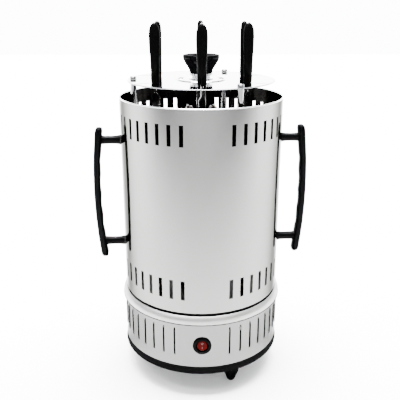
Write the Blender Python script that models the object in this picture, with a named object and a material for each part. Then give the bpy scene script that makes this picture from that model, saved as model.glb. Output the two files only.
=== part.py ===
"""Vertical electric rotisserie grill, built in metres with +Z up and its front towards -Y.

The floor is z = 0. Every turning or sliding piece has its origin on its own joint axis.
"""
import math

import bmesh
import bpy
from mathutils import Matrix, Vector

for old in list(bpy.data.objects):
    bpy.data.objects.remove(old, do_unlink=True)

MM = 0.001
GAP = 0.3 * MM

# Heights of the main levels above the floor.
RING_BOTTOM = 33.5 * MM
RING_TOP = 43.5 * MM
BAND_TOP = 103.5 * MM
DECK_UNDER = 111 * MM
DECK_TOP = 114 * MM
CASING_BOTTOM = 118 * MM
CASING_TOP = 368 * MM
PLATE_UNDER = 387 * MM
PLATE_TOP = 388 * MM
BOSS_TOP = 389 * MM
HANDLE_BASE = 388.8 * MM
SKEWER_TIP = 455.5 * MM

# Radii of the round shells.
RING_RADIUS = 105.0 * MM
BAND_RADIUS = 103 * MM
CAP_RADIUS = 106 * MM
CASING_RADIUS = 101.6 * MM
CASING_WALL = 0.8 * MM
PLATE_RADIUS = 90.5 * MM

# Where the repeated pieces stand, as angles from +X seen from above.
FRONT = 270
CASING_TURN = 3.5
FOOT_ANGLES = (60, 180, 300)
POST_ANGLES = (67, 179, 301)
SKEWER_ANGLES = (30, 90, 150, 210, 270, 330)
SKEWER_TURNS = (60, 0, -70, -30, -75, 55)
SKEWER_CIRCLE = 63 * MM
POST_CIRCLE = 84 * MM
FOOT_CIRCLE = 78 * MM
SEAT_HALF = 1.95 * MM

# The gear train: one drive gear turns six sockets.
TOOTH_MODULE = 3.5 * MM
DRIVE_TEETH = 24
SOCKET_TEETH = 12
GEAR_BOTTOM = 93 * MM
GEAR_TOP = 99 * MM
BEARING_BOTTOM = 86 * MM
BEARING_TOP = 88.5 * MM

SLOTS_PER_GROUP = 8
SLOT_PITCH = 8.35
FIRST_SLOT = 16.9
SLOT_WIDTH = 5 * MM
FIRST_LOUVRE = 20
LOUVRE_PITCH = 8.3
LOUVRE_WIDTH = 1.9 * MM
SWITCH_HEIGHT = 74 * MM
HEATER_FOOT = 126 * MM
HEATER_TOP = 352 * MM
ARM_HEIGHTS = (CASING_TOP - 54.5 * MM, CASING_TOP - 191.5 * MM)
LOOP_ANGLES = (30, 150, 270)
GUARD_ANGLES = (0, 60, 120, 180, 240, 300)
SWITCH_PLACE = Matrix.Translation((0, -BAND_RADIUS, SWITCH_HEIGHT)) @ Matrix.Rotation(math.pi / 2, 4, "X")
GLAND_PLACE = Matrix.Translation((0, BAND_RADIUS, 58 * MM)) @ Matrix.Rotation(-math.pi / 2, 4, "X")


def material(name, colour, metallic, roughness):
    mat = bpy.data.materials.new(name)
    mat.use_nodes = True
    shader = mat.node_tree.nodes["Principled BSDF"]
    shader.inputs["Base Color"].default_value = (*colour, 1)
    shader.inputs["Metallic"].default_value = metallic
    shader.inputs["Roughness"].default_value = roughness
    return mat


def polar(radius, degrees, height=0.0):
    angle = math.radians(degrees)
    return Vector((radius * math.cos(angle), radius * math.sin(angle), height))


def solid(name, verts, faces, look, origin=(0, 0, 0), sharp=40):
    """One closed object whose own origin lies at the given point."""
    start = Vector(origin)
    mesh = bpy.data.meshes.new(name)
    mesh.from_pydata([tuple(Vector(v) - start) for v in verts], [], faces)
    skin = bmesh.new()
    skin.from_mesh(mesh)
    bmesh.ops.remove_doubles(skin, verts=skin.verts, dist=1e-7)
    bmesh.ops.recalc_face_normals(skin, faces=skin.faces)
    skin.to_mesh(mesh)
    skin.free()
    mesh.shade_smooth()
    mesh.set_sharp_from_angle(angle=math.radians(sharp))
    obj = bpy.data.objects.new(name, mesh)
    obj.location = start
    bpy.context.scene.collection.objects.link(obj)
    if look:
        mesh.materials.append(look)
    return obj


def lathe(profile, segments, centre=(0, 0, 0), turn=0.0):
    """Revolve a closed (radius, height) outline about the vertical line through centre."""
    verts = []
    rings = []
    for radius, height in profile:
        if radius < 1e-9:
            rings.append([len(verts)] * segments)
            verts.append(Vector(centre) + Vector((0, 0, height)))
            continue
        rings.append(list(range(len(verts), len(verts) + segments)))
        for k in range(segments):
            verts.append(Vector(centre) + polar(radius, turn + 360 * k / segments, height))
    faces = []
    for i, low in enumerate(rings):
        high = rings[(i + 1) % len(rings)]
        for k in range(segments):
            n = (k + 1) % segments
            face = list(dict.fromkeys((low[k], low[n], high[n], high[k])))
            if len(face) > 2:
                faces.append(face)
    return verts, faces


def prism(outline, bottom, top):
    """Raise a flat outline of (x, y) points into a straight-sided block."""
    count = len(outline)
    verts = [Vector((x, y, bottom)) for x, y in outline]
    verts += [Vector((x, y, top)) for x, y in outline]
    faces = [list(reversed(range(count))), list(range(count, 2 * count))]
    for k in range(count):
        n = (k + 1) % count
        faces.append([k, n, n + count, k + count])
    return verts, faces


def loft(sections):
    """Skin a run of equally counted loops and close both ends."""
    count = len(sections[0])
    verts = [v for loop in sections for v in loop]
    faces = [list(reversed(range(count)))]
    for s in range(len(sections) - 1):
        base = s * count
        for k in range(count):
            n = (k + 1) % count
            faces.append([base + k, base + n, base + count + n, base + count + k])
    faces.append([len(verts) - count + k for k in range(count)])
    return verts, faces


def joined(pieces):
    """Put several vertex and face lists into one."""
    verts = []
    faces = []
    for piece_verts, piece_faces in pieces:
        start = len(verts)
        verts += piece_verts
        faces += [[start + i for i in face] for face in piece_faces]
    return verts, faces


def moved(piece, matrix):
    verts, faces = piece
    return [matrix @ Vector(v) for v in verts], faces


def block(x0, x1, y0, y1, z0, z1):
    return prism([(x0, y0), (x1, y0), (x1, y1), (x0, y1)], z0, z1)


def about_z(degrees):
    return Matrix.Rotation(math.radians(degrees), 4, "Z")


def rounded(width, depth, corner, steps=2):
    """Outline of a rectangle with round corners, centred on zero."""
    points = []
    corners = ((1, 1, 0), (-1, 1, 90), (-1, -1, 180), (1, -1, 270))
    for side_x, side_y, start in corners:
        centre_x = side_x * (width / 2 - corner)
        centre_y = side_y * (depth / 2 - corner)
        for k in range(steps + 1):
            spot = polar(corner, start + 90 * k / steps)
            points.append((centre_x + spot.x, centre_y + spot.y))
    return points


def tool(obj, name, piece, operation="DIFFERENCE"):
    """Cut or join one hidden helper with an object."""
    helper = solid(name, *piece, None)
    helper.hide_render = True
    helper.display_type = "WIRE"
    change = obj.modifiers.new(name, "BOOLEAN")
    change.operation = operation
    change.solver = "EXACT"
    change.object = helper


STEEL = material("polished_steel", (0.62, 0.62, 0.62), 1.0, 0.16)
SATIN = material("satin_steel", (0.58, 0.58, 0.57), 1.0, 0.3)
CHROME = material("chrome", (0.75, 0.75, 0.76), 1.0, 0.06)
BLACK = material("black_plastic", (0.012, 0.012, 0.013), 0.0, 0.28)
BASE_BLACK = material("base_plastic", (0.02, 0.02, 0.02), 0.0, 0.45)
RUBBER = material("foot_rubber", (0.02, 0.02, 0.02), 0.0, 0.6)
RED = material("rocker_red", (0.5, 0.01, 0.01), 0.0, 0.25)
COIL = material("heater_wire", (0.2, 0.17, 0.15), 1.0, 0.5)
MOTOR = material("motor_zinc", (0.45, 0.45, 0.43), 1.0, 0.45)
BRASS = material("brass", (0.6, 0.45, 0.2), 1.0, 0.3)
NYLON = material("gear_nylon", (0.75, 0.73, 0.68), 0.0, 0.5)


def build_base():
    ring = solid("base_ring", *lathe([
        (0, RING_BOTTOM),
        (RING_RADIUS - 0.8 * MM, RING_BOTTOM),
        (RING_RADIUS, RING_BOTTOM + 0.8 * MM),
        (RING_RADIUS - 1.1 * MM, RING_TOP),
        (99 * MM, RING_TOP),
        (99 * MM, 37 * MM),
        (0, 37 * MM),
    ], 60), BASE_BLACK)
    vents = []
    for degrees in (0, 120, 240):
        for radius in (50, 58, 66):
            vent = block((radius - 1.5) * MM, (radius + 1.5) * MM, -14 * MM, 14 * MM, 30 * MM, 40 * MM)
            vents.append(moved(vent, about_z(degrees)))
    tool(ring, "ring_vents", joined(vents))

    cap = solid("base_cap", *lathe([
        (0, DECK_UNDER),
        (98 * MM, DECK_UNDER),
        (98 * MM, BAND_TOP + GAP),
        (CAP_RADIUS - 0.5 * MM, BAND_TOP + GAP),
        (CAP_RADIUS, BAND_TOP + 0.9 * MM),
        (CAP_RADIUS - 0.1 * MM, 108 * MM),
        (CAP_RADIUS - 1.5 * MM, 112 * MM),
        (CAP_RADIUS - 4 * MM, DECK_TOP),
        (0, DECK_TOP),
    ], 60), SATIN)
    bores = []
    for degrees in SKEWER_ANGLES:
        place = Matrix.Translation(polar(SKEWER_CIRCLE, degrees))
        bores.append(moved(round_bar(8.5 * MM, 100 * MM, 120 * MM, 12), place))
    for degrees in POST_ANGLES:
        place = Matrix.Translation(polar(POST_CIRCLE, degrees))
        bores.append(moved(round_bar(4.2 * MM, 100 * MM, 120 * MM, 10), place))
    tool(cap, "deck_bores", joined(bores))

    solid("seat_ring", *lathe([
        (96 * MM, DECK_TOP + GAP),
        (100.9 * MM, DECK_TOP + GAP),
        (100.9 * MM, CASING_BOTTOM - GAP),
        (100.1 * MM, CASING_BOTTOM - GAP),
        (99.8 * MM, 122 * MM),
        (98 * MM, 122 * MM),
    ], 40), RUBBER)

    for number, degrees in enumerate(FOOT_ANGLES, 1):
        solid(f"foot_{number}", *lathe([
            (0, 0),
            (3.6 * MM, 0),
            (5.2 * MM, 1.6 * MM),
            (10.2 * MM, 15 * MM),
            (12 * MM, RING_BOTTOM - GAP),
            (0, RING_BOTTOM - GAP),
        ], 18, polar(FOOT_CIRCLE, degrees)), RUBBER)

    gland = lathe([
        (0, -5 * MM),
        (4.8 * MM, -5 * MM),
        (4.8 * MM, 0.4 * MM),
        (7.5 * MM, 0.4 * MM),
        (7.0 * MM, 2.2 * MM),
        (2.6 * MM, 2.2 * MM),
        (2.6 * MM, -1 * MM),
        (0, -1 * MM),
    ], 16)
    solid("cord_gland", *moved(gland, GLAND_PLACE), RUBBER)


def round_bar(radius, bottom, top, segments):
    return lathe([(0, bottom), (radius, bottom), (radius, top), (0, top)], segments)


def build_switch():
    bezel = lathe([
        (0, -14 * MM),
        (9.8 * MM, -14 * MM),
        (9.8 * MM, 0.4 * MM),
        (11.75 * MM, 0.4 * MM),
        (11.6 * MM, 1.6 * MM),
        (10.4 * MM, 2.5 * MM),
        (8.2 * MM, 2.5 * MM),
        (7.4 * MM, 1.4 * MM),
        (7.4 * MM, -8 * MM),
        (0, -8 * MM),
    ], 28)
    solid("switch_bezel", *moved(bezel, SWITCH_PLACE), BLACK)
    ball = 7 * MM
    profile = [(0, -4 * MM)]
    for level in (-4, -2, 0, 2.6):
        profile.append((math.sqrt(ball ** 2 - (level * MM) ** 2), level * MM))
    profile += [(5.9 * MM, 3.2 * MM), (0, 2.6 * MM)]
    pivot = Vector((0, -BAND_RADIUS + 1.6 * MM, SWITCH_HEIGHT))
    tilt = Matrix.Translation(pivot) @ Matrix.Rotation(math.radians(90 - 8), 4, "X")
    solid("switch_rocker", *moved(lathe(profile, 24), tilt), RED, pivot)


def gear_outline(teeth, phase):
    """Tooth by tooth outline with a little play at the flanks."""
    pitch_radius = teeth * TOOTH_MODULE / 2
    root = pitch_radius - 1.15 * TOOTH_MODULE
    tip = pitch_radius + 0.85 * TOOTH_MODULE
    step = 360 / teeth
    points = []
    for k in range(teeth):
        for share, radius in ((-0.27, root), (-0.13, tip), (0.13, tip), (0.27, root)):
            spot = polar(radius, phase + step * (k + share))
            points.append((spot.x, spot.y))
    return points


def build_drive():
    solid("motor_can", *lathe([
        (0, 37 * MM + GAP),
        (24 * MM, 37 * MM + GAP),
        (25 * MM, 38.5 * MM),
        (25 * MM, 58 * MM),
        (24 * MM, 59 * MM),
        (0, 59 * MM),
    ], 24), MOTOR)
    solid("motor_gearbox", *lathe([
        (3.4 * MM, 59 * MM + GAP),
        (29 * MM, 59 * MM + GAP),
        (29 * MM, 76 * MM),
        (28 * MM, 77 * MM),
        (8 * MM, 77 * MM),
        (8 * MM, 80 * MM),
        (3.4 * MM, 80 * MM),
    ], 24), MOTOR)
    bearing = solid("bearing_plate", *lathe([
        (6 * MM, BEARING_BOTTOM),
        (94 * MM, BEARING_BOTTOM),
        (94 * MM, BEARING_TOP),
        (6 * MM, BEARING_TOP),
    ], 32), STEEL)
    pins = []
    for degrees in SKEWER_ANGLES:
        place = Matrix.Translation(polar(SKEWER_CIRCLE, degrees))
        pins.append(moved(round_bar(3.5 * MM, 80 * MM, 92 * MM, 8), place))
    tool(bearing, "bearing_bores", joined(pins))
    solid("motor_shaft", *round_bar(3 * MM, 60 * MM, 104 * MM, 16), STEEL)

    drive = solid("drive_gear", *prism(gear_outline(DRIVE_TEETH, 0), GEAR_BOTTOM, GEAR_TOP), NYLON)
    tool(drive, "drive_bore", round_bar(3.4 * MM, 90 * MM, 105 * MM, 16))

    for number, degrees in enumerate(SKEWER_ANGLES, 1):
        centre = polar(SKEWER_CIRCLE, degrees)
        place = Matrix.Translation(centre)
        half_pitch = 180 / SOCKET_TEETH
        teeth = prism(gear_outline(SOCKET_TEETH, degrees + 180 + half_pitch), GEAR_BOTTOM, GEAR_TOP)
        socket = solid(f"socket_{number}", *moved(teeth, place), BRASS, centre)
        hub = lathe([
            (0, 84 * MM),
            (3 * MM, 84 * MM),
            (3 * MM, 90 * MM),
            (8 * MM, 90 * MM),
            (8 * MM, 124 * MM),
            (0, 124 * MM),
        ], 12)
        tool(socket, f"socket_hub_{number}", moved(hub, place), "UNION")
        mouth = block(-4.6 * MM, 4.6 * MM, -1.2 * MM, 1.2 * MM, 106 * MM, 130 * MM)
        turned = place @ about_z(degrees + SKEWER_TURNS[number - 1])
        tool(socket, f"socket_mouth_{number}", moved(mouth, turned))


def heater_loop(degrees):
    """One hairpin of the tubular heater: two upright legs and a round bend over the top."""
    half_span = 8 * MM
    across = polar(1, degrees + 90)
    middle = polar(18 * MM, degrees)
    path = [(-half_span, HEATER_FOOT + GAP, 0)]
    for k in range(7):
        bend = 180 - 30 * k
        spot = polar(half_span, bend)
        path.append((spot.x, HEATER_TOP - half_span + spot.y, 180 - bend))
    path.append((half_span, HEATER_FOOT + GAP, 180))
    sections = []
    for shift, height, lean in path:
        centre = middle + across * shift + Vector((0, 0, height))
        outward = polar(1, degrees)
        side = -across * math.cos(math.radians(lean)) + Vector((0, 0, math.sin(math.radians(lean))))
        ring = []
        for k in range(6):
            spot = polar(3.2 * MM, 60 * k)
            ring.append(centre + outward * spot.x + side * spot.y)
        sections.append(ring)
    return loft(sections)


def build_heater():
    solid("heater_base", *lathe([
        (0, DECK_TOP + GAP),
        (32 * MM, DECK_TOP + GAP),
        (32 * MM, 117 * MM),
        (26 * MM, HEATER_FOOT - 2 * MM),
        (24 * MM, HEATER_FOOT),
        (0, HEATER_FOOT),
    ], 28), STEEL)
    solid("heater_core", *lathe([
        (0, HEATER_FOOT + GAP),
        (6 * MM, HEATER_FOOT + GAP),
        (6 * MM, 376 * MM),
        (11 * MM, 382 * MM),
        (11 * MM, PLATE_UNDER - GAP),
        (0, PLATE_UNDER - GAP),
    ], 20), STEEL)
    for number, degrees in enumerate(LOOP_ANGLES, 1):
        solid(f"heater_loop_{number}", *heater_loop(degrees), COIL, sharp=60)
    for number, degrees in enumerate(GUARD_ANGLES, 1):
        centre = polar(35 * MM, degrees)
        solid(f"guard_wire_{number}", *lathe([
            (0, DECK_TOP + GAP),
            (1.4 * MM, DECK_TOP + GAP),
            (1.4 * MM, HEATER_TOP),
            (0, HEATER_TOP),
        ], 6, centre), STEEL)
    for number, degrees in enumerate(POST_ANGLES, 1):
        centre = polar(POST_CIRCLE, degrees)
        solid(f"post_{number}", *lathe([
            (0, BEARING_TOP + GAP),
            (3.7 * MM, BEARING_TOP + GAP),
            (3.7 * MM, 388.2 * MM),
            (0, 388.2 * MM),
        ], 14, centre), CHROME)
        solid(f"post_head_{number}", *lathe([
            (0, 388.5 * MM),
            (3.9 * MM, 388.5 * MM),
            (3.9 * MM, 391.0 * MM),
            (3.0 * MM, 391.7 * MM),
            (0, 391.7 * MM),
        ], 14, centre), CHROME)


def slot_angles(first, pitch):
    """Angle and side of each slot in the four groups, counted from the shell's own front."""
    angles = []
    for quarter in (0, 180):
        for side in (1, -1):
            for k in range(SLOTS_PER_GROUP):
                angles.append(((quarter + side * (first + k * pitch)) % 360, side))
    return angles


def plain_columns(first, pitch):
    """Extra upright lines over the unslotted parts, so that they stay round."""
    columns = []
    for middle in (0, 90, 180, 270):
        spread = first if middle in (0, 180) else 90 - first - (SLOTS_PER_GROUP - 1) * pitch
        for share in (-0.6, -0.3, 0, 0.3, 0.6):
            columns.append(((middle + spread * share) % 360, False, 0.0))
    return columns


def slotted_tube(name, columns, rows, wall, turn, look):
    """A thin tube laid out as a grid, so that each slot is a run of missing cells.

    Columns hold (angle, slot follows, share of the press-out); rows hold
    (height, radius, slots above, press-out).
    """
    columns = sorted(columns)
    count = len(columns)
    verts = []
    for height, radius, _, press in rows:
        for degrees, _, share in columns:
            outer = radius + press * share
            verts.append(polar(outer, turn + degrees, height))
            verts.append(polar(outer - wall, turn + degrees, height))

    def spot(row, column, inside):
        return 2 * (row * count + column % count) + inside

    last = len(rows) - 1

    def is_open(row, column):
        return 0 <= row < last and rows[row][2] and columns[column % count][1]

    faces = []
    for c in range(count):
        faces.append([spot(0, c, 0), spot(0, c, 1), spot(0, c + 1, 1), spot(0, c + 1, 0)])
        faces.append([spot(last, c, 1), spot(last, c, 0), spot(last, c + 1, 0), spot(last, c + 1, 1)])
        for r in range(last):
            if not is_open(r, c):
                faces.append([spot(r, c, 0), spot(r, c + 1, 0), spot(r + 1, c + 1, 0), spot(r + 1, c, 0)])
                faces.append([spot(r, c + 1, 1), spot(r, c, 1), spot(r + 1, c, 1), spot(r + 1, c + 1, 1)])
                continue
            edges = [((r, c), (r + 1, c)), ((r + 1, c + 1), (r, c + 1))]
            if not is_open(r + 1, c):
                edges.append(((r + 1, c), (r + 1, c + 1)))
            if not is_open(r - 1, c):
                edges.append(((r, c + 1), (r, c)))
            for low, high in edges:
                faces.append([spot(*low, 0), spot(*high, 0), spot(*high, 1), spot(*low, 1)])
    return solid(name, verts, faces, look)


def build_casing():
    half = math.degrees(SLOT_WIDTH / 2 / CASING_RADIUS)
    columns = plain_columns(FIRST_SLOT, SLOT_PITCH)
    for degrees, _ in slot_angles(FIRST_SLOT, SLOT_PITCH):
        columns += [(degrees - half, True, 0.0), (degrees + half, False, 0.0)]
    rows = [
        (CASING_BOTTOM, CASING_RADIUS, False, 0.0),
        (CASING_BOTTOM + 17 * MM, CASING_RADIUS, True, 0.0),
        (CASING_BOTTOM + 42.5 * MM, CASING_RADIUS, False, 0.0),
        (CASING_TOP - 42.5 * MM, CASING_RADIUS, True, 0.0),
        (CASING_TOP - 18 * MM, CASING_RADIUS, False, 0.0),
        (CASING_TOP, CASING_RADIUS, False, 0.0),
    ]
    slotted_tube("casing", columns, rows, CASING_WALL, FRONT + CASING_TURN, STEEL)


def build_band():
    """The lower shell, with narrow louvres whose lips are pressed outwards."""
    lip = math.degrees(3.4 * MM / BAND_RADIUS)
    slit = math.degrees(LOUVRE_WIDTH / BAND_RADIUS)
    columns = plain_columns(FIRST_LOUVRE, LOUVRE_PITCH)
    for degrees, side in slot_angles(FIRST_LOUVRE, LOUVRE_PITCH):
        if side > 0:
            columns += [(degrees - slit, True, 0.0), (degrees, False, 1.0), (degrees + lip, False, 0.0)]
        else:
            columns += [(degrees - lip, False, 0.0), (degrees, True, 1.0), (degrees + slit, False, 0.0)]
    press = 1.1 * MM
    rows = [
        (RING_TOP + GAP, BAND_RADIUS + 0.9 * MM, False, 0.0),
        (RING_TOP + 5 * MM, BAND_RADIUS, False, 0.0),
        (58 * MM, BAND_RADIUS, True, 0.0),
        (61 * MM, BAND_RADIUS, True, press),
        (93 * MM, BAND_RADIUS, True, press),
        (96.5 * MM, BAND_RADIUS, False, 0.0),
        (BAND_TOP, BAND_RADIUS, False, 0.0),
    ]
    band = slotted_tube("base_shell", columns, rows, 1 * MM, FRONT, SATIN)
    hole = lathe([(0, -6 * MM), (10.2 * MM, -6 * MM), (10.2 * MM, 6 * MM), (0, 6 * MM)], 28)
    tool(band, "switch_hole", moved(hole, SWITCH_PLACE))
    hole = lathe([(0, -6 * MM), (5.2 * MM, -6 * MM), (5.2 * MM, 6 * MM), (0, 6 * MM)], 16)
    tool(band, "gland_hole", moved(hole, GLAND_PLACE))


def build_handle(name, side):
    """An upright bowed grip with finger waves inside and two arms to the casing."""
    top = 329.5 * MM
    bottom = 155 * MM
    middle = (top + bottom) / 2
    reach = (top - bottom) / 2
    steps = 20
    sections = []
    levels = [bottom + (top - bottom) * k / steps for k in range(steps + 1)]
    levels[1:1] = [bottom + 1.2 * MM, bottom + 4 * MM]
    levels[-1:-1] = [top - 4 * MM, top - 1.2 * MM]
    for height in levels:
        share = (height - middle) / reach
        bow = 134.2 * MM - 5.7 * MM * share ** 2
        wave = 0.0
        if abs(height - middle) < 56 * MM:
            wave = 1.1 * MM * (0.5 - 0.5 * math.cos(2 * math.pi * (height - middle) / (28 * MM)))
        end = max(0.0, (abs(height - middle) - reach + 4 * MM) / (4 * MM))
        shrink = math.sqrt(1 - 0.7 * end ** 2)
        inner = 4.6 * MM * shrink - wave
        outer = 4.6 * MM * shrink
        half = 7.5 * MM * shrink
        loop = [
            (outer, -0.55 * half), (outer, 0.55 * half), (0.55 * outer, 0.93 * half),
            (-0.55 * inner, 0.93 * half), (-inner, 0.55 * half), (-inner, -0.55 * half),
            (-0.55 * inner, -0.93 * half), (0.55 * outer, -0.93 * half),
        ]
        sections.append([Vector((bow + u, v, height)) for u, v in loop])
    face = about_z(side)
    handle = solid(name, *moved(loft(sections), face), BLACK, sharp=60)
    arms = []
    for height in ARM_HEIGHTS:
        profile = [
            (0, CASING_RADIUS + GAP), (6.4 * MM, CASING_RADIUS + GAP), (6.1 * MM, 104 * MM),
            (5.4 * MM, 108 * MM), (5.2 * MM, 114 * MM), (5.4 * MM, 122 * MM),
            (6.2 * MM, 129 * MM), (0, 129 * MM),
        ]
        across = face @ Matrix.Translation((0, 0, height)) @ Matrix.Rotation(math.pi / 2, 4, "Y")
        arms.append(moved(lathe(profile, 14), across))
    tool(handle, f"{name}_arms", joined(arms), "UNION")


def build_screws():
    number = 0
    inner = CASING_RADIUS - CASING_WALL
    for side in (CASING_TURN, 180 + CASING_TURN):
        for height in ARM_HEIGHTS:
            number += 1
            head = lathe([
                (0, inner - 2.5 * MM), (2.2 * MM, inner - 2.4 * MM), (3.6 * MM, inner - 1.5 * MM),
                (3.8 * MM, inner - 0.3 * MM), (0, inner - 0.3 * MM),
            ], 10)
            across = about_z(side) @ Matrix.Translation((0, 0, height)) @ Matrix.Rotation(math.pi / 2, 4, "Y")
            solid(f"handle_screw_{number}", *moved(head, across), CHROME)


def build_plate():
    plate = solid("top_plate", *lathe([
        (0, PLATE_UNDER),
        (PLATE_RADIUS - 0.4 * MM, PLATE_UNDER),
        (PLATE_RADIUS, PLATE_UNDER + 0.4 * MM),
        (PLATE_RADIUS - 0.3 * MM, PLATE_TOP),
        (32 * MM, PLATE_TOP),
        (30.4 * MM, BOSS_TOP),
        (0, BOSS_TOP),
    ], 54), CHROME)
    cuts = []
    for degrees in SKEWER_ANGLES:
        outline = [(95 * MM, -SEAT_HALF), (95 * MM, SEAT_HALF), (SKEWER_CIRCLE, SEAT_HALF)]
        for k in range(1, 4):
            spot = polar(SEAT_HALF, 90 + 45 * k)
            outline.append((SKEWER_CIRCLE + spot.x, spot.y))
        outline.append((SKEWER_CIRCLE, -SEAT_HALF))
        cuts.append(moved(prism(outline, 380 * MM, 396 * MM), about_z(degrees)))
    for degrees in POST_ANGLES:
        place = Matrix.Translation(polar(POST_CIRCLE, degrees))
        cuts.append(moved(round_bar(4.5 * MM, 380 * MM, 396 * MM, 12), place))
    for side in (0, 180):
        outline = []
        for radius, order in ((22.6 * MM, 1), (28.4 * MM, -1)):
            for k in range(-2, 3):
                spot = polar(radius, 12 * k * order)
                outline.append((spot.x, spot.y))
        cuts.append(moved(prism(outline, 380 * MM, 396 * MM), about_z(side)))
    tool(plate, "plate_cuts", joined(cuts))

    solid("knob_ferrule", *lathe([
        (0, BOSS_TOP + GAP),
        (15.6 * MM, BOSS_TOP + GAP),
        (15.6 * MM, BOSS_TOP + 0.9 * MM),
        (12 * MM, BOSS_TOP + 1.6 * MM),
        (12 * MM, 392.8 * MM),
        (14.6 * MM, 393.4 * MM),
        (14.6 * MM, 395.6 * MM),
        (0, 395.6 * MM),
    ], 28), CHROME)
    solid("knob", *lathe([
        (0, 396 * MM),
        (13.8 * MM, 396 * MM),
        (14.4 * MM, 399 * MM),
        (16.2 * MM, 402.4 * MM),
        (19.6 * MM, 407.6 * MM),
        (21.8 * MM, 412 * MM),
        (22.5 * MM, 415.4 * MM),
        (22.0 * MM, 417.4 * MM),
        (20.4 * MM, 417.8 * MM),
        (16 * MM, 415.8 * MM),
        (0, 414.4 * MM),
    ], 36), BLACK)


def build_skewers():
    for number, degrees in enumerate(SKEWER_ANGLES, 1):
        centre = polar(SKEWER_CIRCLE, degrees)
        place = Matrix.Translation(centre) @ about_z(degrees + SKEWER_TURNS[number - 1])
        flat = [(-4, -0.6), (4, -0.6), (4, 0.6), (-4, 0.6)]
        stages = (
            (106.5, 0.25, 0.7), (116, 1.0, 1.0), (372, 1.0, 1.0), (376, 0.3, 1.9), (388.5, 0.3, 1.9),
        )
        sections = []
        for height, wide, thick in stages:
            sections.append([Vector((x * wide * MM, y * thick * MM, height * MM)) for x, y in flat])
        solid(f"skewer_blade_{number}", *moved(loft(sections), place), STEEL, centre)

        stages = (
            (HANDLE_BASE, 9.4, 7.6), (HANDLE_BASE + 1.2 * MM, 10.2, 8.6), (412 * MM, 10.8, 8.8),
            (430 * MM, 12.6, 9.0), (441 * MM, 13.0, 9.0), (447.5 * MM, 12.2, 8.6),
            (451.8 * MM, 9.6, 7.6), (454.4 * MM, 6.4, 5.8), (SKEWER_TIP, 3.0, 4.0),
        )
        sections = []
        for height, wide, thick in stages:
            corner = 0.3 * min(wide, thick) * MM
            outline = rounded(wide * MM, thick * MM, corner, 1)
            sections.append([Vector((x, y, height)) for x, y in outline])
        solid(f"skewer_handle_{number}", *moved(loft(sections), place), BLACK, centre, sharp=50)


build_base()
build_band()
build_switch()
build_drive()
build_heater()
build_casing()
build_handle("handle_right", CASING_TURN)
build_handle("handle_left", 180 + CASING_TURN)
build_screws()
build_plate()
build_skewers()
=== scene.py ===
"""Looks, small trim, light and camera for the vertical rotisserie grill."""
import math

import bpy
from mathutils import Matrix, Vector


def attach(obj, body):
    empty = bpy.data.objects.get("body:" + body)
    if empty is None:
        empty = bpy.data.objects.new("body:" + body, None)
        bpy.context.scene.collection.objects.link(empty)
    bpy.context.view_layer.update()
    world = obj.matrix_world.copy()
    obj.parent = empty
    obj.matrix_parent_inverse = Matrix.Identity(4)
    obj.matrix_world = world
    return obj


MM = 0.001

# Sizes and places of the frame.
SKEWER_CIRCLE = 63 * MM
SKEWER_ANGLES = (30, 90, 150, 210, 270, 330)
SKEWER_TURNS = (60, 0, -70, -30, -75, 55)
CASING_RADIUS = 101.6 * MM
CASING_TOP = 368 * MM
PLATE_RADIUS = 90.5 * MM
PLATE_MIDDLE = 387.5 * MM
PLATE_TOP = 388 * MM
HANDLE_BASE = 388.8 * MM
HANDLE_TIP = 455.5 * MM
CAP_RADIUS = 106 * MM
CAP_FOOT = 103.9 * MM
PIVOT = Vector((0, -101.4 * MM, 74 * MM))
ROCKER_TILT = 8

# Camera and surroundings.
CAMERA_PLACE = (-0.0108, -0.7282, 0.4787)
CAMERA_LOOKS_DOWN = 18.84
CAMERA_TURNS_RIGHT = 0.742
CAMERA_LENS = 52.33
FLOOR_REACH = 5.0
SKY_FRONT = 2.0
SKY_BACK = 14.0

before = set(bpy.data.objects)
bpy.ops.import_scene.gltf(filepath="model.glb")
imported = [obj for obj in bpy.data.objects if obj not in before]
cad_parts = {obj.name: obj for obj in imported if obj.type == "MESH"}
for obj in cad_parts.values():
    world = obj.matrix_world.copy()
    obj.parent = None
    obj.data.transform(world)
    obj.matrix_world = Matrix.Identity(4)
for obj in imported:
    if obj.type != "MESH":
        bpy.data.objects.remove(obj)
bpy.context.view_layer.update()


# ---------------------------------------------------------------- shapes

def polar(radius, degrees, height=0.0):
    angle = math.radians(degrees)
    return Vector((radius * math.cos(angle), radius * math.sin(angle), height))


def about_z(degrees):
    return Matrix.Rotation(math.radians(degrees), 4, "Z")


def piece(name, shape, finish, body, sharp=35, bevel=0.0):
    """A closed trim piece that rides on one body and shares a material slot of the record."""
    verts, faces = shape
    mesh = bpy.data.meshes.new(name)
    mesh.from_pydata([tuple(v) for v in verts], [], faces)
    mesh.update()
    mesh.shade_smooth()
    mesh.set_sharp_from_angle(angle=math.radians(sharp))
    mesh.materials.append(finish)
    obj = bpy.data.objects.new(name, mesh)
    bpy.context.scene.collection.objects.link(obj)
    if bevel:
        edge = obj.modifiers.new("edge", "BEVEL")
        edge.width = bevel
        edge.segments = 2
    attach(obj, body)


def lathe(profile, segments):
    """Revolve a closed (radius, height) outline about the vertical axis."""
    verts = []
    faces = []
    count = len(profile)
    for k in range(segments):
        for radius, height in profile:
            verts.append(polar(radius, 360 * k / segments, height))
    for k in range(segments):
        n = (k + 1) % segments
        for i in range(count):
            j = (i + 1) % count
            faces.append([k * count + i, n * count + i, n * count + j, k * count + j])
    return verts, faces


def slab(outline, low, high):
    """Raise a flat outline of (x, y) points into a plate."""
    count = len(outline)
    verts = [Vector((x, y, low)) for x, y in outline]
    verts += [Vector((x, y, high)) for x, y in outline]
    faces = [list(reversed(range(count))), list(range(count, 2 * count))]
    for k in range(count):
        n = (k + 1) % count
        faces.append([k, n, n + count, k + count])
    return verts, faces


def rectangle(left, right, low, high):
    return [(left, low), (right, low), (right, high), (left, high)]


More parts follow.
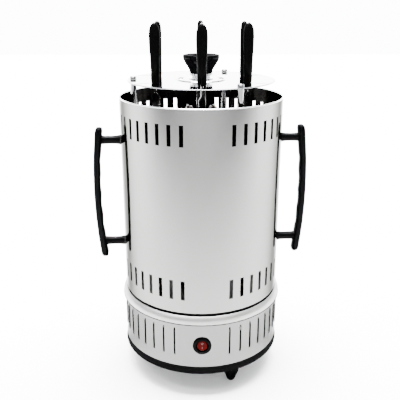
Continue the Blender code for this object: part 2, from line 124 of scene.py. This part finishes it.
def bead(radius, height, thickness, sides):
    """A ring with a round section."""
    profile = []
    for k in range(sides):
        spot = polar(thickness, 360 * k / sides)
        profile.append((radius + spot.x, height + spot.y))
    return lathe(profile, 96)


def moved(shape, matrix):
    verts, faces = shape
    return [matrix @ Vector(v) for v in verts], faces


# ---------------------------------------------------------------- finishes

class Finish:
    """A procedural surface: a base colour with uneven tone, gloss and a fine relief."""

    # Places of a Mix node's two colours, two vectors and their results.
    MIX_COLOURS = (6, 7)
    MIX_COLOUR = 2
    MIX_VECTORS = (4, 5)
    MIX_VECTOR = 1
    PATCH_SCALE = 22

    def __init__(self, name, colour, metallic, roughness, tone=0.06, relief=0.02,
                 scale=60, stretch=(1, 1, 1), uneven=0.25, coat=0.0, specular=0.5, edge=1.0):
        self.material = bpy.data.materials.new(name)
        self.material.use_nodes = True
        self.tree = self.material.node_tree
        self.shader = self.tree.nodes["Principled BSDF"]
        self.shader.inputs["Metallic"].default_value = metallic
        self.shader.inputs["Specular IOR Level"].default_value = specular
        self.shader.inputs["Specular Tint"].default_value = (edge, edge, edge, 1)
        self.shader.inputs["Coat Weight"].default_value = coat
        self.shader.inputs["Coat Roughness"].default_value = 0.08
        self.coordinates = self.node("ShaderNodeTexCoord")
        self.place = self.coordinates.outputs["Object"]
        mapping = self.node("ShaderNodeMapping")
        mapping.inputs["Scale"].default_value = stretch
        self.link(self.place, mapping.inputs["Vector"])
        self.grain = self.noise(mapping.outputs["Vector"], scale, 6)
        patches = self.noise(self.place, self.PATCH_SCALE, 3)
        low = [c * (1 - tone) for c in colour]
        high = [min(1.0, c * (1 + tone)) for c in colour]
        self.colour = self.mix(patches, low, high)
        self.link(self.colour, self.shader.inputs["Base Color"])
        self.gloss = self.spread(self.grain, roughness * (1 - uneven), roughness * (1 + uneven))
        self.link(self.gloss, self.shader.inputs["Roughness"])
        self.bump = self.node("ShaderNodeBump")
        self.bump.inputs["Strength"].default_value = relief
        self.bump.inputs["Distance"].default_value = 0.2 * MM
        self.link(self.grain, self.bump.inputs["Height"])
        self.link(self.bump.outputs["Normal"], self.shader.inputs["Normal"])

    def node(self, kind):
        return self.tree.nodes.new(kind)

    def link(self, start, end):
        self.tree.links.new(start, end)

    def noise(self, vector, scale, detail):
        node = self.node("ShaderNodeTexNoise")
        node.inputs["Scale"].default_value = scale
        node.inputs["Detail"].default_value = detail
        self.link(vector, node.inputs["Vector"])
        return node.outputs["Fac"]

    def spread(self, value, low, high, start=0.3, end=0.7):
        node = self.node("ShaderNodeMapRange")
        node.inputs["From Min"].default_value = start
        node.inputs["From Max"].default_value = end
        node.inputs["To Min"].default_value = low
        node.inputs["To Max"].default_value = high
        self.link(value, node.inputs["Value"])
        return node.outputs["Result"]

    def compute(self, operation, first, second=0.0):
        node = self.node("ShaderNodeMath")
        node.operation = operation
        for socket, value in zip(node.inputs, (first, second)):
            if isinstance(value, (int, float)):
                socket.default_value = value
            else:
                self.link(value, socket)
        return node.outputs["Value"]

    def mix(self, factor, first, second):
        """Blend two colours, each a colour socket or three numbers."""
        node = self.node("ShaderNodeMix")
        node.data_type = "RGBA"
        self.link(factor, node.inputs["Factor"])
        for number, value in zip(self.MIX_COLOURS, (first, second)):
            socket = node.inputs[number]
            if hasattr(value, "is_output"):
                self.link(value, socket)
            else:
                socket.default_value = (*value, 1)
        return node.outputs[self.MIX_COLOUR]

    def axis_distance(self):
        """Distance from the vertical middle line."""
        split = self.node("ShaderNodeSeparateXYZ")
        self.link(self.place, split.inputs["Vector"])
        across = self.compute("MULTIPLY", split.outputs["X"], split.outputs["X"])
        along = self.compute("MULTIPLY", split.outputs["Y"], split.outputs["Y"])
        return self.compute("SQRT", self.compute("ADD", across, along))

    def not_outwards(self):
        """One on the inner wall and the cut edges of a shell, zero on its outer wall."""
        where = self.node("ShaderNodeSeparateXYZ")
        self.link(self.place, where.inputs["Vector"])
        facing = self.node("ShaderNodeSeparateXYZ")
        self.link(self.coordinates.outputs["Normal"], facing.inputs["Vector"])
        across = self.compute("MULTIPLY", where.outputs["X"], facing.outputs["X"])
        along = self.compute("MULTIPLY", where.outputs["Y"], facing.outputs["Y"])
        return self.compute("LESS_THAN", self.compute("ADD", across, along), 0.05)

    def make_round(self, likeness):
        """Shade walls that nearly follow the vertical axis as truly round ones."""
        flat = self.node("ShaderNodeVectorMath")
        flat.operation = "MULTIPLY"
        flat.inputs[1].default_value = (1, 1, 0)
        self.link(self.place, flat.inputs[0])
        outward = self.node("ShaderNodeVectorMath")
        outward.operation = "NORMALIZE"
        self.link(flat.outputs["Vector"], outward.inputs[0])
        along = self.node("ShaderNodeVectorMath")
        along.operation = "DOT_PRODUCT"
        self.link(outward.outputs["Vector"], along.inputs[0])
        self.link(self.coordinates.outputs["Normal"], along.inputs[1])
        side = self.compute("SIGN", along.outputs["Value"])
        radial = self.node("ShaderNodeVectorMath")
        radial.operation = "SCALE"
        self.link(outward.outputs["Vector"], radial.inputs[0])
        self.link(side, radial.inputs["Scale"])
        size = self.compute("ABSOLUTE", along.outputs["Value"])
        is_wall = self.compute("GREATER_THAN", size, likeness)
        choice = self.node("ShaderNodeMix")
        choice.data_type = "VECTOR"
        self.link(is_wall, choice.inputs["Factor"])
        as_built, as_round = self.MIX_VECTORS
        self.link(self.coordinates.outputs["Normal"], choice.inputs[as_built])
        self.link(radial.outputs["Vector"], choice.inputs[as_round])
        world = self.node("ShaderNodeVectorTransform")
        world.vector_type = "NORMAL"
        world.convert_from = "OBJECT"
        world.convert_to = "WORLD"
        self.link(choice.outputs[self.MIX_VECTOR], world.inputs["Vector"])
        self.link(world.outputs["Vector"], self.bump.inputs["Normal"])

    def darken(self, factor, colour, roughness):
        """Where factor is one, show another colour and gloss."""
        self.colour = self.mix(factor, self.colour, colour)
        self.link(self.colour, self.shader.inputs["Base Color"])
        rest = self.compute("SUBTRACT", 1.0, factor)
        kept = self.compute("MULTIPLY", self.gloss, rest)
        added = self.compute("MULTIPLY", factor, roughness)
        self.gloss = self.compute("ADD", kept, added)
        self.link(self.gloss, self.shader.inputs["Roughness"])


def casing_steel():
    steel = Finish("casing_steel", (0.14, 0.1413, 0.1375), 1.0, 0.08, tone=0.02, relief=0.03,
                   scale=34, stretch=(1, 1, 0.35), uneven=0.15, edge=0.26)
    # Painted shade: the inner wall and the slot edges get a near-black colour and rougher gloss,
    # standing in for the shade inside the casing and in its slots.
    steel.darken(steel.not_outwards(), (0.011, 0.0107, 0.0104), 0.2)
    steel.make_round(0.97)
    return steel.material


def deck_steel():
    steel = Finish("deck_steel", (0.3, 0.3, 0.293), 1.0, 0.42, tone=0.02, relief=0.03,
                   scale=40, uneven=0.15)
    # Painted shade: the deck inside the casing wall gets a near-black colour, standing in for the shadow
    # the casing casts on it.
    inner = steel.compute("LESS_THAN", steel.axis_distance(), CASING_RADIUS - 0.5 * MM)
    steel.darken(inner, (0.008, 0.0078, 0.0076), 0.35)
    return steel.material


def band_steel():
    steel = Finish("band_steel", (0.1, 0.101, 0.0988), 1.0, 0.24, tone=0.02, relief=0.03,
                   scale=40, stretch=(1, 1, 0.4), uneven=0.15, edge=0.4)
    # Painted shade: the louvre slits and other faces not facing outwards get a near-black colour,
    # standing in for the shade in the slits.
    steel.darken(steel.not_outwards(), (0.015, 0.015, 0.015), 0.35)
    return steel.material


def metal(name, colour, roughness, **details):
    return Finish(name, colour, 1.0, roughness, **details).material


def plastic(name, colour, roughness, **details):
    return Finish(name, colour, 0.0, roughness, **details).material


CASING = casing_steel()
DECK = deck_steel()
BAND = band_steel()
CHROME = metal("chrome", (0.9, 0.91, 0.92), 0.05, tone=0.01, relief=0.006, scale=20)
PLATE = metal("plate_chrome", (0.6, 0.61, 0.62), 0.04, tone=0.01, relief=0.004, scale=12)
RIM = metal("rim_steel", (0.3, 0.3, 0.31), 0.2, tone=0.05)
POST = metal("post_chrome", (0.3, 0.3, 0.305), 0.1, tone=0.05)
ROD = metal("rod_steel", (0.6, 0.6, 0.59), 0.22, tone=0.08, scale=120, stretch=(1, 1, 0.1))
# Painted shade: the blades are the same steel as the tangs but nearly black, standing in for the shade
# inside the casing.
BLADE = metal("blade_steel", (0.025, 0.025, 0.0245), 0.18, scale=150, stretch=(1, 1, 0.06))
TANG = metal("tang_steel", (0.5, 0.5, 0.49), 0.2, tone=0.05, scale=150)
NUT = metal("nut_steel", (0.12, 0.12, 0.12), 0.3, tone=0.1, scale=200)
DARK_STEEL = metal("heat_dark_steel", (0.02, 0.0195, 0.019), 0.3, tone=0.25, scale=90)
COIL = metal("heater_sheath", (0.06, 0.054, 0.05), 0.32, tone=0.3, scale=140)
ZINC = metal("motor_zinc", (0.5, 0.5, 0.47), 0.42, tone=0.1, relief=0.08, scale=120)
BRASS = metal("brass", (0.08, 0.062, 0.035), 0.3, tone=0.12, scale=160)
GLOSS_BLACK = plastic("gloss_black", (0.0006, 0.0006, 0.0007), 0.18, tone=0.15, relief=0.01,
                      scale=90, specular=0.0, coat=0.04)
SATIN_BLACK = plastic("satin_black", (0.0006, 0.0006, 0.0006), 0.28, tone=0.2, relief=0.01,
                      scale=160, specular=0.0, coat=0.03)
MATTE_BLACK = plastic("matte_black", (0.001, 0.001, 0.001), 0.5, tone=0.2, relief=0.05,
                      scale=300, specular=0.0, coat=0.012)
RUBBER = plastic("rubber", (0.001, 0.001, 0.001), 0.62, tone=0.2, relief=0.05,
                 scale=260, specular=0.0, coat=0.01)
RED = plastic("rocker_red", (0.03, 0.0004, 0.0003), 0.25, tone=0.2, relief=0.03,
              scale=120, specular=0.02)
MARK = plastic("mark_red", (0.05, 0.004, 0.003), 0.5, tone=0.1, scale=120)
NYLON = plastic("nylon", (0.72, 0.7, 0.64), 0.45, tone=0.05, relief=0.08, scale=200)

LOOKS = {
    "casing": CASING,
    "base_shell": BAND,
    "base_cap": DECK,
    "seat_ring": RUBBER,
    "base_ring": MATTE_BLACK,
    "cord_gland": RUBBER,
    "switch_bezel": SATIN_BLACK,
    "switch_rocker": RED,
    "motor_can": ZINC,
    "motor_gearbox": ZINC,
    "motor_shaft": ROD,
    "bearing_plate": ROD,
    "drive_gear": NYLON,
    "heater_base": DARK_STEEL,
    "heater_core": DARK_STEEL,
    "handle_left": GLOSS_BLACK,
    "handle_right": GLOSS_BLACK,
    "top_plate": PLATE,
    "knob": GLOSS_BLACK,
    "knob_ferrule": CHROME,
}
REPEATED = {
    "foot": (3, RUBBER),
    "post": (3, POST),
    "post_head": (3, NUT),
    "heater_loop": (3, COIL),
    "guard_wire": (6, DARK_STEEL),
    "handle_screw": (4, NUT),
    "socket": (6, BRASS),
    "skewer_blade": (6, BLADE),
    "skewer_handle": (6, SATIN_BLACK),
}
for stem, (count, finish) in REPEATED.items():
    for number in range(1, count + 1):
        LOOKS[f"{stem}_{number}"] = finish
for node, finish in LOOKS.items():
    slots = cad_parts[node].data.materials
    slots.clear()
    slots.append(finish)


# ---------------------------------------------------------------- edges of the frame pieces

def smooth_group(name, degrees):
    """Join the triangles of a frame piece and round its shading up to an edge angle."""
    group = bpy.data.node_groups.new(name, "GeometryNodeTree")
    group.interface.new_socket("Geometry", in_out="INPUT", socket_type="NodeSocketGeometry")
    group.interface.new_socket("Geometry", in_out="OUTPUT", socket_type="NodeSocketGeometry")
    start = group.nodes.new("NodeGroupInput")
    end = group.nodes.new("NodeGroupOutput")
    weld = group.nodes.new("GeometryNodeMergeByDistance")
    weld.inputs["Distance"].default_value = 0.005 * MM
    clear = group.nodes.new("GeometryNodeRemoveAttribute")
    clear.inputs["Name"].default_value = "custom_normal"
    round_faces = group.nodes.new("GeometryNodeSetShadeSmooth")
    round_faces.inputs["Shade Smooth"].default_value = True
    angle = group.nodes.new("GeometryNodeInputMeshEdgeAngle")
    steep = group.nodes.new("FunctionNodeCompare")
    steep.operation = "GREATER_THAN"
    steep.inputs["B"].default_value = math.radians(degrees)
    keep_edges = group.nodes.new("GeometryNodeSetShadeSmooth")
    keep_edges.domain = "EDGE"
    keep_edges.inputs["Shade Smooth"].default_value = False
    links = group.links
    links.new(start.outputs[0], clear.inputs["Geometry"])
    links.new(clear.outputs["Geometry"], weld.inputs["Geometry"])
    links.new(weld.outputs["Geometry"], round_faces.inputs["Geometry"])
    links.new(round_faces.outputs["Geometry"], keep_edges.inputs["Geometry"])
    links.new(angle.outputs["Unsigned Angle"], steep.inputs["A"])
    links.new(steep.outputs["Result"], keep_edges.inputs["Selection"])
    links.new(keep_edges.outputs["Geometry"], end.inputs[0])
    return group


ROUND = smooth_group("round_shading", 38)
SOFT = smooth_group("soft_shading", 62)
SOFT_STEMS = ("handle_left", "handle_right", "knob", "heater_loop", "skewer_handle")
for node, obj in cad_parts.items():
    if node == "top_plate":
        continue
    rounding = obj.modifiers.new("shading", "NODES")
    rounding.node_group = SOFT if node.startswith(SOFT_STEMS) and node != "knob_ferrule" else ROUND


# ---------------------------------------------------------------- trim

def casing_rim():
    """A rolled bead along the casing's top edge; its bright chrome colour, far lighter than the casing
    steel, is a painted highlight.
    """
    ring = bead(CASING_RADIUS - 0.4 * MM, CASING_TOP, 0.75 * MM, 10)
    piece("casing_rim", ring, CHROME, "casing", sharp=80)


def cap_seam_shade():
    """A dark ring of painted shade under the rounded cap's lip, where the cap meets the band."""
    ring = bead(CAP_RADIUS - 0.3 * MM, CAP_FOOT, 0.7 * MM, 8)
    piece("cap_seam_shade", ring, RUBBER, "stand", sharp=80)


def plate_rim():
    """The top plate's rounded edge, a little darker than the plate."""
    ring = bead(PLATE_RADIUS - 0.2 * MM, PLATE_MIDDLE, 0.65 * MM, 8)
    piece("plate_rim", ring, RIM, "plate", sharp=80)


def on_each_skewer(stem, shape, finish, bevel=0.0):
    """The same piece on every skewer, turned with its blade."""
    for number, (degrees, turn) in enumerate(zip(SKEWER_ANGLES, SKEWER_TURNS), 1):
        place = Matrix.Translation(polar(SKEWER_CIRCLE, degrees)) @ about_z(degrees + turn)
        piece(f"{stem}_{number}", moved(shape, place), finish, f"skewer_{number}", bevel=bevel)


def skewer_tangs():
    """The blade's end showing at the top of each skewer handle."""
    outline = rectangle(-1.3 * MM, 1.3 * MM, -0.6 * MM, 0.6 * MM)
    tang = slab(outline, HANDLE_TIP - 5.5 * MM, HANDLE_TIP + 0.9 * MM)
    on_each_skewer("skewer_tang", tang, TANG, bevel=0.2 * MM)


def handle_feet():
    """The thin foot of each skewer handle, just clear of the plate."""
    end = (4.7 * MM, 1.5 * MM)
    side = (2.4 * MM, 3.8 * MM)
    outline = []
    for across, along in ((1, 1), (-1, 1), (-1, -1), (1, -1)):
        corner = [(across * x, along * y) for x, y in (end, side)]
        outline += corner if across == along else reversed(corner)
    foot = slab(outline, PLATE_TOP + 0.15 * MM, HANDLE_BASE + 0.2 * MM)
    on_each_skewer("handle_foot", foot, SATIN_BLACK)


def rocker_marks():
    """Plain on and off marks on the rocker's face."""
    face = Matrix.Translation(PIVOT) @ Matrix.Rotation(math.radians(90 - ROCKER_TILT), 4, "X")
    off_spot = Matrix.Translation((0, 2.8 * MM, 0))
    top = 3.25 * MM
    bar = slab(rectangle(-0.35 * MM, 0.35 * MM, -3.9 * MM, -1.4 * MM), 2.7 * MM, top)
    ring = lathe(rectangle(0.9 * MM, 1.4 * MM, 2.6 * MM, top), 24)
    piece("rocker_on_mark", moved(bar, face), MARK, "rocker")
    piece("rocker_off_mark", moved(ring, face @ off_spot), MARK, "rocker")


casing_rim()
cap_seam_shade()
plate_rim()
skewer_tangs()
handle_feet()
rocker_marks()


# ---------------------------------------------------------------- floor, light and camera

def floor():
    mesh = bpy.data.meshes.new("floor")
    corners = rectangle(-FLOOR_REACH, FLOOR_REACH, -FLOOR_REACH, FLOOR_REACH)
    mesh.from_pydata([(x, y, 0) for x, y in corners], [], [(0, 1, 2, 3)])
    mesh.materials.append(plastic("floor_pale", (0.93, 0.93, 0.93), 0.6, tone=0.01, relief=0.0, scale=3))
    obj = bpy.data.objects.new("floor", mesh)
    bpy.context.scene.collection.objects.link(obj)


def sky():
    """Pale surroundings with a bright low band behind the grill."""
    world = bpy.data.worlds.new("studio")
    bpy.context.scene.world = world
    world.use_nodes = True
    nodes = world.node_tree.nodes
    links = world.node_tree.links
    background = nodes["Background"]
    direction = nodes.new("ShaderNodeTexCoord")
    split = nodes.new("ShaderNodeSeparateXYZ")
    links.new(direction.outputs["Generated"], split.inputs["Vector"])
    low_back = nodes.new("ShaderNodeMath")
    low_back.operation = "SUBTRACT"
    links.new(split.outputs["Y"], low_back.inputs[0])
    links.new(split.outputs["Z"], low_back.inputs[1])
    strength = nodes.new("ShaderNodeMapRange")
    strength.interpolation_type = "SMOOTHSTEP"
    strength.inputs["From Min"].default_value = 0.1
    strength.inputs["From Max"].default_value = 0.8
    strength.inputs["To Min"].default_value = SKY_FRONT
    strength.inputs["To Max"].default_value = SKY_BACK
    links.new(low_back.outputs["Value"], strength.inputs["Value"])
    links.new(strength.outputs["Result"], background.inputs["Strength"])
    background.inputs["Color"].default_value = (0.98, 0.99, 1.0, 1)


def lamp(name, spot, target, width, power, spread=180):
    """A square lamp of some width in metres and power in watts, aimed at a target."""
    light = bpy.data.lights.new(name, "AREA")
    light.shape = "SQUARE"
    light.size = width
    light.energy = power
    light.spread = math.radians(spread)
    obj = bpy.data.objects.new(name, light)
    obj.location = spot
    obj.rotation_euler = (Vector(target) - Vector(spot)).to_track_quat("-Z", "Y").to_euler()
    bpy.context.scene.collection.objects.link(obj)


def camera():
    data = bpy.data.cameras.new("camera")
    data.sensor_width = 36
    data.lens = CAMERA_LENS
    obj = bpy.data.objects.new("camera", data)
    obj.location = CAMERA_PLACE
    obj.rotation_euler = (math.radians(90 - CAMERA_LOOKS_DOWN), 0, math.radians(-CAMERA_TURNS_RIGHT))
    bpy.context.scene.collection.objects.link(obj)
    bpy.context.scene.camera = obj


floor()
sky()
lamp("key", (-1.2, -0.9, 2.2), (0, 0, 0.25), width=0.5, power=30)
lamp("floor_light", (0, 2.6, 2.2), (0, 2.6, 0), width=6.0, power=2000, spread=60)
lamp("front_light", (0, -1.8, 2.0), (0, -1.8, 0), width=2.0, power=40, spread=70)
camera()
